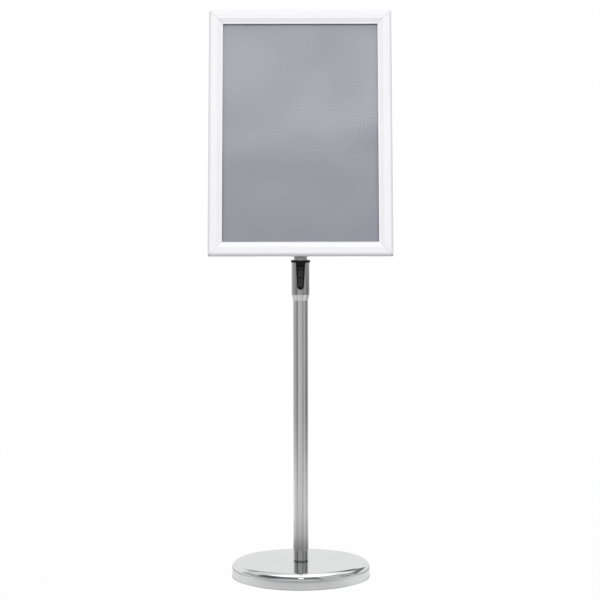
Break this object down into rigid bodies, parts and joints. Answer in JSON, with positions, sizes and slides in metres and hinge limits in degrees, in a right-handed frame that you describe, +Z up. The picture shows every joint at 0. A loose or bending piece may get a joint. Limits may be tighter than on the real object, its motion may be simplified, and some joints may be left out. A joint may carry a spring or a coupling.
{
  "type": "sign stand",
  "caption": "Free-standing sign stand: chrome disc base, telescopic steel pole with a sliding release, and a white mitred snap frame on a tilting, turning head.",
  "frame": {"origin": "centre of the base's footprint on the floor, on the pole's axis", "axes": "+Z up along the pole, the sign faces -Y, +X to the viewer's right"},
  "size_m": [0.327, 0.25, 1.0257],
  "materials": {
    "base_chrome": "mirror polished",
    "weight_iron": "black painted casting",
    "foot_rubber": "matte",
    "fastener_steel": "zinc plated",
    "pole_steel": "satin, drawn along the tube",
    "mast_chrome": "bright",
    "latch_black": "fine grain",
    "slider_black": "fine grain",
    "shoe_brass": "machined",
    "spring_steel": "spring steel",
    "glide_plastic": "nylon",
    "head_zinc": "black powder coat",
    "bar_steel": "black powder coat",
    "profile_aluminium": "anodised",
    "key_steel": "zinc plated",
    "panel_grey": "matte grey",
    "sheet_clear": "clear, semi-gloss",
    "rail_white": "white satin powder coat"
  },
  "bodies": {
    "stand": {"base_cover": "base_chrome", "base_weight": "weight_iron", "base_foot_ring": "foot_rubber", "base_washer": "fastener_steel", "base_bolt": "fastener_steel", "pole_foot_plug": "fastener_steel", "outer_tube": "pole_steel", "latch_housing": "latch_black", "release_spring": "spring_steel"},
    "release_slider": {"release_slider": "slider_black"},
    "brake_shoe": {"brake_shoe": "shoe_brass"},
    "mast": {"inner_tube": "mast_chrome", "mast_glide": "glide_plastic", "head_plug": "head_zinc", "head_rivet": "fastener_steel"},
    "tilt_head": {"tilt_yoke": "head_zinc", "tilt_bolt": "fastener_steel", "tilt_nut": "fastener_steel", "tilt_washers": "glide_plastic"},
    "sign_frame": {"swivel_stud": "fastener_steel", "swivel_friction_washer": "glide_plastic", "swivel_steel_washer": "fastener_steel", "swivel_nut": "fastener_steel", "mounting_bar": "bar_steel", "mounting_screws": "fastener_steel", "base_rail_top": "profile_aluminium", "base_rail_bottom": "profile_aluminium", "base_rail_left": "profile_aluminium", "base_rail_right": "profile_aluminium", "corner_keys": "key_steel", "leaf_springs": "spring_steel", "back_panel": "panel_grey", "cover_sheet": "sheet_clear"},
    "snap_top": {"snap_rail_top": "rail_white"},
    "snap_bottom": {"snap_rail_bottom": "rail_white"},
    "snap_left": {"snap_rail_left": "rail_white"},
    "snap_right": {"snap_rail_right": "rail_white"}
  },
  "joints": [
    {"name": "height_slide", "type": "slide", "parent": "stand", "child": "mast", "axis": [0, 0, 1], "range_m": [-0.18, 0.21]},
    {"name": "release_slide", "type": "slide", "parent": "stand", "child": "release_slider", "axis": [0, 0, 1], "range_m": [0, 0.004], "stiffness_N_per_m": 400, "springref_m": -0.004, "deforming": ["release_spring"]},
    {"name": "shoe_release", "type": "slide", "parent": "stand", "child": "brake_shoe", "axis": [0, -1, 0], "range_m": [0, 0.0012]},
    {"name": "head_tilt", "type": "hinge", "parent": "mast", "child": "tilt_head", "pos_m": [0, 0, 0.799], "axis": [-1, 0, 0], "range_deg": [-15, 75]},
    {"name": "frame_turn", "type": "hinge", "parent": "tilt_head", "child": "sign_frame", "pos_m": [0, -0.02608, 0.80599], "axis": [0, -0.9659, 0.2588], "range_deg": [-90, 90]},
    {"name": "snap_top_hinge", "type": "hinge", "parent": "sign_frame", "child": "snap_top", "pos_m": [0, 0.02302, 1.02246], "axis": [-1, 0, 0], "range_deg": [0, 80]},
    {"name": "snap_bottom_hinge", "type": "hinge", "parent": "sign_frame", "child": "snap_bottom", "pos_m": [0, -0.09179, 0.59397], "axis": [1, 0, 0], "range_deg": [0, 80]},
    {"name": "snap_left_hinge", "type": "hinge", "parent": "sign_frame", "child": "snap_left", "pos_m": [-0.1603, -0.03439, 0.80821], "axis": [0, -0.2588, -0.9659], "range_deg": [0, 80]},
    {"name": "snap_right_hinge", "type": "hinge", "parent": "sign_frame", "child": "snap_right", "pos_m": [0.1603, -0.03439, 0.80821], "axis": [0, 0.2588, 0.9659], "range_deg": [0, 80]}
  ],
  "couplings": [
    {"joint": "shoe_release", "follows": "release_slide", "ratio": 0.3}
  ]
}
